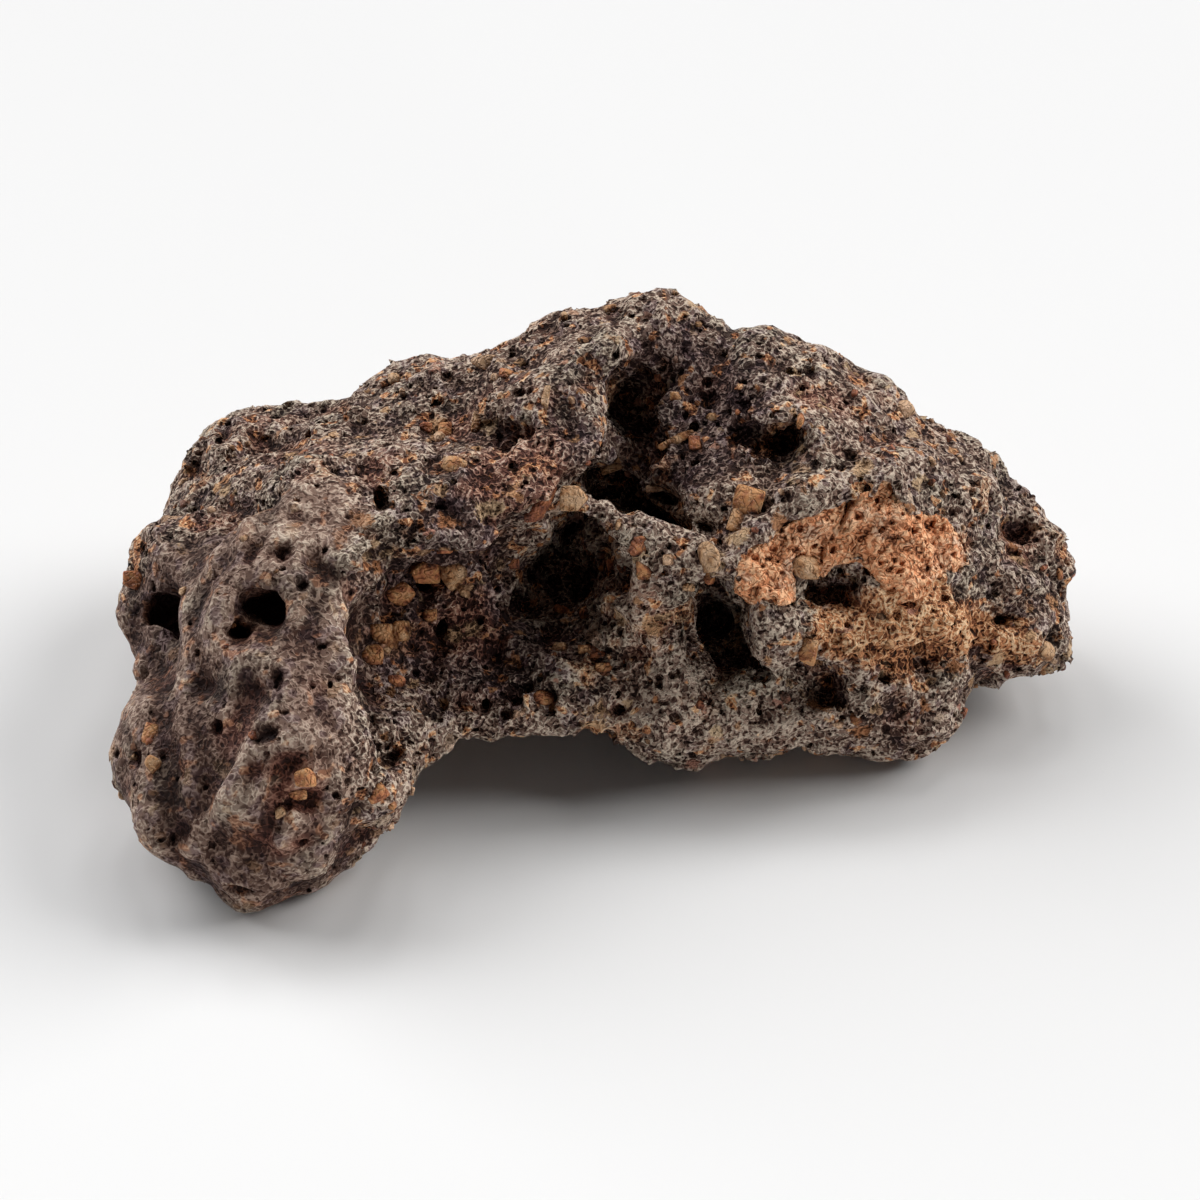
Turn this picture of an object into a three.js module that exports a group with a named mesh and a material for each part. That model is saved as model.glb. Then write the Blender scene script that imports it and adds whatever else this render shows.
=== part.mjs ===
// A vesicular impactite: one lump of frothy impact melt, about 45 mm long, that cooled as a single piece.
// A heavy foot stands forward on the left, a brow runs from it to a peak at the back, and below the brow
// the melt sags into a basin with deep blow-holes. The right half is a broad mass that thins to a blunt end.
//
// Frame: +X along the length, +Y to the back, +Z up. The origin is on the resting plane under the middle of
// the bounding box. All sizes are in millimetres.
//
// The form is a field, negative inside: lumps and bars of melt run together, hollows are blown out of them,
// and a slow swell and a finer roughness move the surface. A skin of near-square cells then closes on it.
import * as THREE from "three";
import { ImprovedNoise } from "three/addons/math/ImprovedNoise.js";

// Driving dimensions.
const CELL = 1.05;
const MELD = 1.6; // how widely two lumps run into each other
const RIM = 0.8; // how round a hollow's rim is
const SWELL = { size: 5.6, height: 0.8 };
const ROUGH = { size: 2.4, height: 0.65 };
const REACH = { side: 26, depth: 19, height: 22 }; // how far out the field is read: +-X, +-Y, up

// Masses of melt. A lump is an ellipsoid, turned by the angles in turn (degrees about X, Y, Z).
const LUMPS = [
  { name: "peak", at: [1.8, 6.4, 8.4], radii: [6.4, 8.0, 9.3] },
  { name: "peak shoulder", at: [6.2, 7.2, 10.2], radii: [5.0, 5.2, 5.8] },
  { name: "saddle", at: [-4.6, 7.6, 9.2], radii: [4.6, 4.6, 5.2] },
  { name: "right mass", at: [9.4, 3.4, 6.2], radii: [10.6, 8.4, 8.0] },
  { name: "hump", at: [9.6, 6.0, 11.4], radii: [5.6, 4.0, 4.0], turn: [0, 6, 0] },
  { name: "left plateau", at: [-8.4, 4.0, 6.6], radii: [10.5, 8.2, 7.2] },
  { name: "back left lobe", at: [-15.5, 6.9, 5.8], radii: [5.5, 5.6, 6.0] },
  { name: "back knob", at: [-8.8, 10.4, 9.4], radii: [3.0, 3.0, 3.4] },
  { name: "foot tip", at: [-15.0, -12.0, 2.6], radii: [3.9, 3.4, 3.6] },
  { name: "foot belly", at: [-13.8, -8.6, 4.4], radii: [6.0, 5.2, 4.4] },
  { name: "left shoulder", at: [-18.8, -0.2, 6.6], radii: [3.5, 4.2, 4.4] },
  { name: "lower left lobe", at: [-18.2, -8.9, 3.6], radii: [3.4, 3.9, 3.9] },
  { name: "basin floor", at: [-4.2, -2.2, 4.2], radii: [6.6, 4.8, 3.0] },
  { name: "far shoulder", at: [15.6, 5.6, 7.0], radii: [4.6, 4.2, 4.2] },
  { name: "chin", at: [1.0, -4.2, 2.8], radii: [3.2, 2.2, 2.0] },
  { name: "upper end lobe", at: [19.9, 3.4, 5.7], radii: [3.4, 4.0, 3.4] },
  { name: "lower end lobe", at: [19.0, 1.5, 3.6], radii: [3.6, 3.2, 2.6] },
  { name: "right toe", at: [13.8, -2.0, 2.2], radii: [3.8, 3.0, 3.0] },
  { name: "back spur", at: [9.6, 9.4, 3.6], radii: [4.8, 3.8, 4.8] },
];

// Bars are tapered: a sphere of the first radius at from runs straight into one of the second at to.
const BARS = [
  { name: "brow", from: [-12.5, -2.4, 10.6], to: [-1.6, 2.0, 11.8], radii: [3.3, 3.3] },
  { name: "plateau edge", from: [-1.8, 2.8, 11.6], to: [-1.6, 8.0, 13.0], radii: [3.0, 3.0] },
  { name: "foot", from: [-13.4, -3.6, 9.7], to: [-14.4, -9.6, 5.8], radii: [4.2, 4.4] },
  { name: "crest", from: [0.0, 0.6, 10.4], to: [4.4, -1.0, 9.0], radii: [1.6, 1.9] },
  { name: "nose", from: [3.4, -1.4, 7.8], to: [4.4, -3.6, 3.2], radii: [2.9, 3.4] },
  { name: "right skirt", from: [7.0, -3.2, 3.0], to: [14.6, -2.2, 2.8], radii: [3.0, 2.9] },
  { name: "foot flank", from: [-9.8, -4.6, 6.0], to: [-8.0, -5.8, 5.4], radii: [3.2, 2.4] },
];

// Most of the hollows open upward and to the front: about X they are tipped by this many degrees.
const TIP = -40;

// Hollows blown or broken out of the melt.
const HOLLOWS = [
  { name: "basin", at: [-5.7, -5.2, 9.0], radii: [5.8, 4.7, 3.9] },
  { name: "chute", at: [2.8, 2.8, 16.1], radii: [2.6, 2.9, 3.6], turn: [TIP, 8, 0] },
  { name: "pit", at: [2.0, 0.6, 12.1], radii: [3.1, 3.6, 1.5], turn: [TIP, 15, 0] },
  { name: "upper pocket", at: [1.2, 4.2, 15.1], radii: [1.0, 2.2, 1.3], turn: [TIP, 0, 0] },
  { name: "oval hole", at: [5.9, -3.3, 7.1], radii: [1.5, 3.4, 2.1], turn: [TIP, -12, 0] },
  { name: "low hole", at: [10.3, -4.5, 5.3], radii: [1.1, 2.4, 1.7], turn: [TIP, -25, 0] },
  { name: "foot hole", at: [-15.0, -7.6, 11.5], radii: [1.2, 2.2, 1.0], turn: [TIP, 0, 0] },
  { name: "shoulder hollow", at: [-19.2, -3.4, 8.6], radii: [1.2, 2.0, 1.6], turn: [TIP, 0, 0] },
  { name: "high hole", at: [9.0, 1.7, 13.8], radii: [1.2, 1.8, 0.8], turn: [TIP, 0, 0] },
  { name: "clast bed", at: [12.1, -3.4, 12.7], radii: [6.9, 2.4, 3.5], turn: [TIP, 0, 0] },
  { name: "clast recess", at: [11.0, -3.0, 9.5], radii: [1.8, 1.6, 0.9], turn: [TIP, 0, 0] },
  { name: "grain pocket", at: [-8.3, -0.4, 8.0], radii: [1.3, 1.5, 1.2] },
  { name: "end groove", at: [20.3, 2.1, 8.9], radii: [0.9, 1.4, 2.3], turn: [TIP, -23, 0] },
  { name: "end notch", at: [23.0, 2.4, 4.6], radii: [1.2, 1.6, 0.5] },
  { name: "under arch", at: [-3.0, -5.8, -0.2], radii: [7.0, 8.0, 3.4] },
  { name: "underside", at: [4.0, 5.0, -1.4], radii: [9.0, 6.0, 2.6] },
];

const TUNNELS = [
  { name: "blow-hole", from: [-2.2, -1.4, 8.0], to: [-1.4, 2.4, 6.2], radii: [2.5, 2.0] },
];

const noise = new ImprovedNoise();

function ellipsoid({ at, radii, turn = [0, 0, 0] }) {
  const toLocal = new THREE.Matrix4()
    .makeRotationFromEuler(new THREE.Euler(...turn.map(THREE.MathUtils.degToRad)))
    .setPosition(...at)
    .invert();
  const size = new THREE.Vector3(...radii);
  const p = new THREE.Vector3();
  return (point) => {
    const near = p.copy(point).applyMatrix4(toLocal).divide(size).length();
    const slope = p.divide(size).length();
    return slope > 1e-9 ? (near * (near - 1)) / slope : -Math.min(...radii);
  };
}

function bar({ from, to, radii }) {
  const start = new THREE.Vector3(...from);
  const along = new THREE.Vector3(...to).sub(start);
  const p = new THREE.Vector3();
  return (point) => {
    const share = THREE.MathUtils.clamp(p.copy(point).sub(start).dot(along) / along.lengthSq(), 0, 1);
    return p.addScaledVector(along, -share).length() - THREE.MathUtils.lerp(...radii, share);
  };
}

// The lesser of two distances, rounded over a width where they cross.
function blend(a, b, width) {
  const near = Math.max(width - Math.abs(a - b), 0) / width;
  return Math.min(a, b) - (near * near * width) / 4;
}

const masses = [...LUMPS.map(ellipsoid), ...BARS.map(bar)];
const voids = [...HOLLOWS.map(ellipsoid), ...TUNNELS.map(bar)];

function waves(point, { size, height }, shift) {
  return height * noise.noise(point.x / size + shift, point.y / size + shift, point.z / size + shift);
}

function stoneField(point) {
  let d = masses.reduce((all, mass) => blend(all, mass(point), MELD), Infinity);
  d += waves(point, SWELL, 3.3) + waves(point, ROUGH, 9.7);
  d = voids.reduce((all, hollow) => -blend(-all, hollow(point), RIM), d);
  return Math.max(d, -point.z); // the floor cuts the feet flat
}

// True where the corners of a cube named by the bits of a mask hang together along its edges.
function hangsTogether(mask) {
  if (!mask) return true;
  let seen = mask & -mask;
  for (let grown = 0; grown !== seen; ) {
    grown = seen;
    for (let corner = 0; corner < 8; corner++) {
      if (!(seen & (1 << corner))) continue;
      for (const step of [1, 2, 4]) seen |= mask & (1 << (corner ^ step));
    }
  }
  return seen === mask;
}

// Closes a skin on the field's zero: one vertex in each cell that it passes through, at the mean of its
// crossings of the cell's edges, and one quad across each grid edge that it crosses.
function skin(field, { low, high }, cell) {
  const count = low.map((l, axis) => Math.ceil((high[axis] - l) / cell) + 1);
  const stride = [1, count[0], count[0] * count[1]];
  const place = (i, j, k) => new THREE.Vector3(i, j, k).multiplyScalar(cell).add(new THREE.Vector3(...low));
  const value = new Float64Array(stride[2] * count[2]);
  for (let k = 0, n = 0; k < count[2]; k++)
    for (let j = 0; j < count[1]; j++)
      for (let i = 0; i < count[0]; i++, n++) value[n] = field(place(i, j, k));

  const corners = [...Array(8).keys()].map((c) => (c & 1) + ((c >> 1) & 1) * stride[1] + (c >> 2) * stride[2]);
  const plain = [...Array(256).keys()].map((mask) => hangsTogether(mask) && hangsTogether(255 ^ mask));
  const maskOf = (n) => corners.reduce((mask, o, c) => mask | (value[n + o] < 0 ? 1 << c : 0), 0);
  const eachCell = (visit) => {
    for (let k = 0; k < count[2] - 1; k++)
      for (let j = 0; j < count[1] - 1; j++)
        for (let i = 0; i < count[0] - 1; i++) visit(i, j, k, i + j * stride[1] + k * stride[2]);
  };
  // A cell that two sheets of the skin would share is filled, corner by corner, until one sheet is left.
  for (let filled = true; filled; ) {
    filled = false;
    eachCell((i, j, k, n) => {
      if (plain[maskOf(n)]) return;
      const open = corners.filter((o) => value[n + o] >= 0).sort((a, b) => value[n + a] - value[n + b]);
      value[n + open[0]] = -0.05 * cell;
      filled = true;
    });
  }

  const vertexIn = new Int32Array(value.length).fill(-1);
  const position = [];
  eachCell((i, j, k, n) => {
    const mask = maskOf(n);
    if (mask === 0 || mask === 255) return;
    const sum = new THREE.Vector3();
    let crossings = 0;
    for (let c = 0; c < 8; c++)
      for (let axis = 0; axis < 3; axis++) {
        const other = c | (1 << axis);
        if (other === c) continue;
        const [a, b] = [value[n + corners[c]], value[n + corners[other]]];
        if (a < 0 === b < 0) continue;
        const at = [c & 1, (c >> 1) & 1, c >> 2];
        at[axis] += a / (a - b);
        sum.add(place(i + at[0], j + at[1], k + at[2]));
        crossings++;
      }
    vertexIn[n] = position.length / 3;
    position.push(...sum.divideScalar(crossings).toArray());
  });

  const index = [];
  const gap = (a, b) => Math.hypot(...[0, 1, 2].map((axis) => position[3 * a + axis] - position[3 * b + axis]));
  eachCell((i, j, k, n) => {
    if (!i || !j || !k) return;
    for (let axis = 0; axis < 3; axis++) {
      const inside = value[n] < 0;
      if (inside === value[n + stride[axis]] < 0) continue;
      const [u, v] = [stride[(axis + 1) % 3], stride[(axis + 2) % 3]];
      const ring = [n, n - u, n - u - v, n - v].map((m) => vertexIn[m]);
      const [a, b, c, d] = inside ? ring : ring.reverse();
      if (gap(a, c) < gap(b, d)) index.push(a, b, c, a, c, d);
      else index.push(a, b, d, b, c, d);
    }
  });
  const geometry = new THREE.BufferGeometry();
  geometry.setAttribute("position", new THREE.Float32BufferAttribute(position, 3));
  geometry.setIndex(index);
  geometry.computeVertexNormals();
  return geometry;
}

// The lowest plane of grid points lies half a cell off the floor, so that the feet close exactly on it.
const reach = {
  low: [-REACH.side, -REACH.depth, -2.5 * CELL],
  high: [REACH.side, REACH.depth, REACH.height],
};
const crust = skin(stoneField, reach, CELL);
crust.computeBoundingBox();
const middle = crust.boundingBox.getCenter(new THREE.Vector3());
crust.translate(-middle.x, -middle.y, 0);

const stone = new THREE.Mesh(
  crust,
  new THREE.MeshStandardMaterial({ color: 0x4b423d, roughness: 0.9, metalness: 0 }),
);
stone.name = "stone";

const impactite = new THREE.Group();
impactite.add(stone);

export default impactite;
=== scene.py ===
"""The looks of an impactite: one lump of frothy impact melt about 45 mm long, with a baked granite clast
in its face and sand grains lodged in its holes.

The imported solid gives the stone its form. A box of small cubes of space about it holds the distance to its
skin; welts, hollows, hills and bubbles are worked into that distance as whole arrays, and a new skin is
closed on it. Sizes inside this file are in millimetres until a mesh is made.
"""

from math import cos, radians, sin

import bmesh
import bpy
import numpy as np
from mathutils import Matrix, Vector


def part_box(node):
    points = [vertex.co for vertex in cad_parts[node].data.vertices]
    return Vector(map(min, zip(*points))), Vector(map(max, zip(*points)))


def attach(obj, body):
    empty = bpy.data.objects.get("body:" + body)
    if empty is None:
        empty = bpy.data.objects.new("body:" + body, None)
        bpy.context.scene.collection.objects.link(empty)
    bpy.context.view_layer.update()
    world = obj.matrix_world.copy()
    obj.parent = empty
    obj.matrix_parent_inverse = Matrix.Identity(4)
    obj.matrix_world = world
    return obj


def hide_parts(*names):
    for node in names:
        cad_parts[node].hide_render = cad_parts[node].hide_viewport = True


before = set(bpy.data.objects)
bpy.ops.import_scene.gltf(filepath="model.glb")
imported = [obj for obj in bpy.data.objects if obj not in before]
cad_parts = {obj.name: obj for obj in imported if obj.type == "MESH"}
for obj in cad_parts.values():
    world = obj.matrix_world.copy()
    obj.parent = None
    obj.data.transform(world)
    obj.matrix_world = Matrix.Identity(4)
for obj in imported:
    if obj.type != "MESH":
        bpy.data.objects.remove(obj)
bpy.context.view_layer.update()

import openvdb

MM = 0.001
LOW, HIGH = (np.array(corner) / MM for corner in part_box("stone"))
HALF = (HIGH - LOW) / 2
TIP = radians(40)  # most hollows open upward and to the front, this far above the level
CELL = 0.12  # side of the cubes of space
CLAST_CELL = 0.1
MARGIN = 1.6  # free space round the stone
MELT_TRIANGLES, CLAST_TRIANGLES = 198_000, 90_000
MERGED = 1e-6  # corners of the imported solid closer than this, in metres, are one
RNG = np.random.default_rng(1968)


def spot(percents):
    """A place in the stone, or a run of them, from percents: x and y run from -100 to 100 over its length
    and depth, z from 0 to 100 up its height."""
    return np.array(percents) / 100 * HALF * (1, 1, 2)


# ---- camera, lights and floor

AIM = (0.05, 0.47, 6.5)  # the place that the camera is turned to
VIEW_DISTANCE = 134.0
VIEW_ELEVATION = radians(40)
FLOOR_HALF = 900.0


def make_camera():
    """Looks at the stone from the front, from well above the surface."""
    data = bpy.data.cameras.new("camera")
    data.lens = 85
    data.sensor_width = 36
    data.clip_start = 0.005
    camera = bpy.data.objects.new("camera", data)
    back = np.array([0, -cos(VIEW_ELEVATION), sin(VIEW_ELEVATION)])
    camera.location = (np.array(AIM) + VIEW_DISTANCE * back) * MM
    camera.rotation_euler = (radians(90) - VIEW_ELEVATION, 0, 0)
    bpy.context.scene.collection.objects.link(camera)
    bpy.context.scene.camera = camera


def make_lamp(name, bearing, height, width, strength, colour):
    """A round soft light far away: its bearing from the back toward the right, its height above the level
    and its width are angles in degrees."""
    data = bpy.data.lights.new(name, "SUN")
    data.angle = radians(width)
    data.energy = strength
    data.color = colour
    lamp = bpy.data.objects.new(name, data)
    lamp.rotation_euler = (radians(height - 90), 0, radians(-bearing))
    bpy.context.scene.collection.objects.link(lamp)


def make_world(strength):
    """Even white light from all round, as in a light tent."""
    world = bpy.data.worlds.new("light tent")
    world.use_nodes = True
    background = world.node_tree.nodes["Background"]
    background.inputs["Color"].default_value = (1.0, 1.0, 1.0, 1)
    background.inputs["Strength"].default_value = strength
    bpy.context.scene.world = world


# ---- shader building


class Link:
    """One output socket of a shader. Arithmetic with other links or numbers adds Math nodes."""

    def __init__(self, shader, socket):
        self.shader, self.socket = shader, socket

    def _math(self, operation, *terms):
        """A Math node on links and numbers."""
        return self.shader.node("ShaderNodeMath", {"operation": operation}, dict(enumerate(terms)))

    def __add__(self, other):
        return self._math("ADD", self, other)

    def __radd__(self, other):
        return self._math("ADD", other, self)

    def __sub__(self, other):
        return self._math("SUBTRACT", self, other)

    def __rsub__(self, other):
        return self._math("SUBTRACT", other, self)

    def __mul__(self, other):
        return self._math("MULTIPLY", self, other)

    def __rmul__(self, other):
        return self._math("MULTIPLY", other, self)

    def __abs__(self):
        return self._math("ABSOLUTE", self)

    def above(self, low, high):
        """0 below low, 1 above high, with a smooth rise between; falls instead where low is the greater."""
        if low > high:
            return 1 - self.above(high, low)
        return self.shader.node(
            "ShaderNodeMapRange",
            {"interpolation_type": "SMOOTHSTEP"},
            {"Value": self, "From Min": low, "From Max": high},
        )


class Shader:
    """A material under one Principled shader, whose nodes are added by node()."""

    def __init__(self, name, roughness, specular):
        self.material = bpy.data.materials.new(name)
        self.material.use_nodes = True
        self.tree = self.material.node_tree
        self.surface = self.tree.nodes["Principled BSDF"]
        self.surface.inputs["Roughness"].default_value = roughness
        self.surface.inputs["Specular IOR Level"].default_value = specular
        place = self.node("ShaderNodeTexCoord", output="Object")
        self.place = self.vector("SCALE", place, 1 / MM)

    def node(self, kind, settings=None, sockets=None, output=0):
        """Adds a node of a kind, makes its settings, fills its sockets, and returns one of its outputs."""
        made = self.tree.nodes.new(kind)
        for key, value in (settings or {}).items():
            if key == "stops":
                ramp = made.color_ramp.elements
                while len(ramp) < len(value):
                    ramp.new(0.5)
                for stop, (position, colour) in zip(ramp, value):
                    stop.position = position
                    stop.color = (*colour, 1)
            else:
                setattr(made, key, value)
        for key, value in (sockets or {}).items():
            socket = made.inputs[key]
            if isinstance(value, Link):
                self.tree.links.new(value.socket, socket)
            elif isinstance(value, tuple) and len(socket.default_value) == 4:
                socket.default_value = (*value, 1)
            else:
                socket.default_value = value
        return Link(self, made.outputs[output])

    def vector(self, operation, first, second):
        """Vector Math on two vectors, or on a vector and a scale."""
        key = "Scale" if operation == "SCALE" else 1
        return self.node("ShaderNodeVectorMath", {"operation": operation}, {0: first, key: second})

    def mix(self, share, first, second, blend="MIX"):
        """Goes from the first colour to the second as share goes from 0 to 1."""
        settings = {"data_type": "RGBA", "blend_type": blend}
        return self.node("ShaderNodeMix", settings, {0: share, 6: first, 7: second}, output=2)

    def noise(self, size, detail=2.0, place=None, output=0):
        """Cloudy pattern about size millimetres across: output 0 is a number, output 1 a colour."""
        sockets = {"Vector": place or self.place, "Scale": 1 / size, "Detail": detail}
        return self.node("ShaderNodeTexNoise", None, sockets, output)

    def cells(self, size, place, output="Distance", feature="F1"):
        """Cells about scattered points, about size millimetres apart: a random colour for each, or how far
        away the nearest edge between them is."""
        sockets = {"Vector": place, "Scale": 1 / size}
        return self.node("ShaderNodeTexVoronoi", {"feature": feature}, sockets, output)

    def channel(self, colour, name):
        """One of a colour's parts: Red, Green or Blue."""
        return self.node("ShaderNodeSeparateColor", None, {"Color": colour}, name)

    def ramp(self, value, positions, *colours):
        """Colours that follow one another as the value passes each position."""
        return self.node("ShaderNodeValToRGB", {"stops": tuple(zip(positions, colours))}, {"Fac": value})

    def attribute(self, name):
        """A number that the mesh keeps for each of its points."""
        return self.node("ShaderNodeAttribute", {"attribute_name": name}, None, "Fac")

    def wander(self, size, amount):
        """The place moved by up to about half the amount in millimetres, in swirls about size across."""
        swirl = self.noise(size, 1.0, output=1)
        return self.vector("ADD", self.place, self.vector("SCALE", swirl, amount))

    def finish(self, colour, roughness=None, height=None):
        """Colour, roughness and a relief in millimetres go to the surface."""
        self.tree.links.new(colour.socket, self.surface.inputs["Base Color"])
        if roughness is not None:
            self.tree.links.new(roughness.socket, self.surface.inputs["Roughness"])
        if height is not None:
            bump = self.node("ShaderNodeBump", None, {"Strength": 1.0, "Distance": MM, "Height": height})
            self.tree.links.new(bump.socket, self.surface.inputs["Normal"])
        return self.material


# ---- space and skins


def mesh_of(name, points, faces, smooth=True):
    """A mesh in metres from points in millimetres and an array of faces with equal corners."""
    mesh = bpy.data.meshes.new(name)
    count, corners = faces.shape
    mesh.vertices.add(len(points))
    mesh.vertices.foreach_set("co", (points * MM).astype(np.float32).ravel())
    mesh.loops.add(count * corners)
    mesh.loops.foreach_set("vertex_index", faces.astype(np.int32).ravel())
    mesh.polygons.add(count)
    mesh.polygons.foreach_set("loop_start", np.arange(count, dtype=np.int32) * corners)
    mesh.polygons.foreach_set("use_smooth", np.full(count, smooth))
    mesh.update(calc_edges=True)
    return mesh


def points_of(mesh):
    """The points of a mesh, in millimetres."""
    points = np.empty(3 * len(mesh.vertices), np.float32)
    mesh.vertices.foreach_get("co", points)
    return points.reshape(-1, 3) / MM


def triangles_of(mesh):
    """The corners of a mesh's triangles."""
    mesh.calc_loop_triangles()
    corners = np.empty(3 * len(mesh.loop_triangles), np.int32)
    mesh.loop_triangles.foreach_get("vertices", corners)
    return corners.reshape(-1, 3)


def largest_piece(points, faces):
    """Drops crumbs and sealed bubbles: joined corners take the least label among them until none changes,
    and only the faces with the commonest label stay."""
    label = np.arange(len(points))
    start, end = faces.ravel(), np.roll(faces, -1, axis=1).ravel()
    while True:
        one, other = label[start], label[end]
        if (one == other).all():
            break
        np.minimum.at(label, np.maximum(one, other), np.minimum(one, other))
        while (label != label[label]).any():
            label = label[label]
    kept = faces[label[faces[:, 0]] == np.bincount(label[faces[:, 0]]).argmax()]
    used = np.unique(kept)
    number = np.zeros(len(points), int)
    number[used] = np.arange(len(used))
    return points[used], number[kept]


class Space:
    """A box of small cubes of space. A field is one number for each of them, negative inside the melt."""

    def __init__(self, low, high, cell):
        self.cell = cell
        self.first = np.floor(np.array(low) / cell).astype(int)
        self.count = np.ceil(np.array(high) / cell).astype(int) - self.first + 1
        self.axes = [cell * (self.first[a] + np.arange(self.count[a])) for a in range(3)]

    def grid(self):
        """The coordinates of the cubes, as three arrays that spread over each other."""
        return np.meshgrid(*self.axes, indexing="ij", sparse=True)

    def about(self, low, high):
        """The slices between two corners, and the coordinates of their cubes."""
        first = np.clip(np.floor(np.array(low) / self.cell).astype(int) - self.first, 0, self.count)
        last = np.clip(np.ceil(np.array(high) / self.cell).astype(int) + 1 - self.first, 0, self.count)
        slices = tuple(slice(a, b) for a, b in zip(first, last))
        return slices, np.meshgrid(*(a[s] for a, s in zip(self.axes, slices)), indexing="ij", sparse=True)

    def distance_to(self, points, triangles, reach):
        """Signed distance to a closed mesh, cut off at reach."""
        grid = openvdb.FloatGrid.createLevelSetFromPolygons(
            points.astype(np.float32),
            triangles=triangles.astype(np.uint32),
            transform=openvdb.createLinearTransform(voxelSize=self.cell),
            halfWidth=reach / self.cell,
        )
        field = np.empty(self.count, np.float32)
        grid.copyToArray(field, ijk=tuple(int(n) for n in self.first))
        return field

    def blur(self, field, spread, step=1):
        """Each cube takes the bell-weighted mean of the cubes within three spreads, one axis at a time.
        With a step the field holds only every step-th cube."""
        cell = self.cell * step
        reach = int(np.ceil(3 * spread / cell))
        weights = np.exp(-0.5 * (np.arange(-reach, reach + 1) * cell / spread) ** 2)
        weights /= weights.sum()
        for _ in range(3):
            padded = np.pad(field, [(reach, reach), (0, 0), (0, 0)], "edge")
            total = np.zeros_like(field)
            for n, weight in enumerate(weights.astype(np.float32)):
                total += weight * padded[n : n + len(field)]
            field = np.ascontiguousarray(total.transpose(1, 2, 0))
        return field

    def hills(self, size):
        """Random heights on a lattice with steps of size, carried to every cube by cubic B-splines along
        each axis in turn; about 1 high."""
        knots = [int(np.ceil(count * self.cell / size)) + 4 for count in self.count]
        field = RNG.normal(0, 1.6, knots).astype(np.float32)
        for axis in range(3):
            far = np.arange(self.count[axis])[:, None] * self.cell / size + 1.5 - np.arange(knots[axis])
            far = np.abs(far)
            share = np.where(far < 1, 2 / 3 - far**2 + far**3 / 2, np.clip(2 - far, 0, None) ** 3 / 6)
            field = np.tensordot(field, share.astype(np.float32), axes=(0, 1))
        return field

    def read(self, field, points, step=1):
        """The field at any points, by straight lines between the cubes about each."""
        place = (points / self.cell - self.first) / step
        base = np.clip(np.floor(place).astype(int), 0, np.array(field.shape) - 2)
        share = np.clip(place - base, 0, 1)
        total = 0
        for corner in np.ndindex(2, 2, 2):
            weight = np.prod(np.where(corner, share, 1 - share), axis=1)
            total = total + weight * field[tuple((base + corner).T)]
        return total

    def below(self, field, points, spread, depth, step=1):
        """How far points lie inside a skin blurred by a spread, in shares of a depth. Only every step-th
        cube is blurred."""
        blurred = self.blur(field[::step, ::step, ::step], spread, step)
        return -self.read(blurred, points, step) / depth

    def skin(self, field):
        """Points and quads of the largest closed skin on the field's zero."""
        grid = openvdb.FloatGrid(1.0)
        grid.transform = openvdb.createLinearTransform(voxelSize=self.cell)
        grid.copyFromArray(np.clip(field, -1, 1), ijk=tuple(int(n) for n in self.first))
        return largest_piece(*grid.convertToQuads())


def thinned(mesh, most):
    """Collapses the edges that matter least until at most so many triangles are left."""
    holder = bpy.data.objects.new("holder", mesh)
    bpy.context.scene.collection.objects.link(holder)
    collapse = holder.modifiers.new("thin", "DECIMATE")
    collapse.ratio = min(1.0, most / len(triangles_of(mesh)))
    graph = bpy.context.evaluated_depsgraph_get()
    thin = bpy.data.meshes.new_from_object(holder.evaluated_get(graph))
    bpy.data.objects.remove(holder)
    bpy.data.meshes.remove(mesh)
    return thin


def add_numbers(mesh, name, values):
    """Keeps one number for each point of a mesh, for its material to read."""
    mesh.attributes.new(name, "FLOAT", "POINT").data.foreach_set("value", values.astype(np.float32))


def add_piece(name, mesh, material, replaced=None):
    """Puts a finished mesh in the scene as a piece of the stone."""
    mesh.name = name
    mesh.materials.clear()
    mesh.materials.append(material)
    piece = bpy.data.objects.new(name, mesh)
    bpy.context.scene.collection.objects.link(piece)
    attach(piece, "root")
    if replaced:
        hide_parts(replaced)


# ---- tools that work the melt

SHORT = 1e-3  # a path of one place is stretched by this
TINY = 1e-6  # keeps a slope from being zero
BELL_ENDS = 2.5  # a bell has died away at this many widths
WALL_ROOM = 0.8  # how far a ragged wall and a soft rim reach past a hollow's own size
MOST_RAGGED = 1.2  # a hollow wider than this is no more ragged
SOFT_RIM, SOFT_GULLY = 0.35, 0.4  # how far the edge of a hollow and of a gully is rounded
BUBBLE_REACH = 1.7  # in radii of the bubble, as the next two are
LIP_AT, LIP_WIDTH = 1.05, 0.3


def to_path(x, y, z, path):
    """The least distance from each cube to a run of straight stretches."""
    least = np.inf
    for start, end in zip(path[:-1], path[1:]):
        along = end - start
        share = (x - start[0]) * along[0] + (y - start[1]) * along[1] + (z - start[2]) * along[2]
        share = np.clip(share / (along @ along), 0, 1)
        gaps = (c - s - share * a for c, s, a in zip((x, y, z), start, along))
        least = np.minimum(least, sum(gap**2 for gap in gaps))
    return np.sqrt(least)


def greater(one, other, soft):
    """The greater of two distances. Where they differ by less than soft, a quarter of soft is added, times
    the square of the share that they lack, which rounds the edge where the two forms meet."""
    meet = np.clip(soft - np.abs(one - other), 0, None) / soft
    return np.maximum(one, other) + meet**2 * soft / 4


def raise_along(space, field, path, width, height):
    """Lifts the skin by height along a path, in a bell-shaped section. A negative height cuts a groove."""
    path = [path[0], path[0] + SHORT] if len(path) == 1 else path
    reach = BELL_ENDS * width
    slices, (x, y, z) = space.about(np.min(path, 0) - reach, np.max(path, 0) + reach)
    field[slices] -= height * np.exp(-((to_path(x, y, z, path) / width) ** 2))


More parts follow.
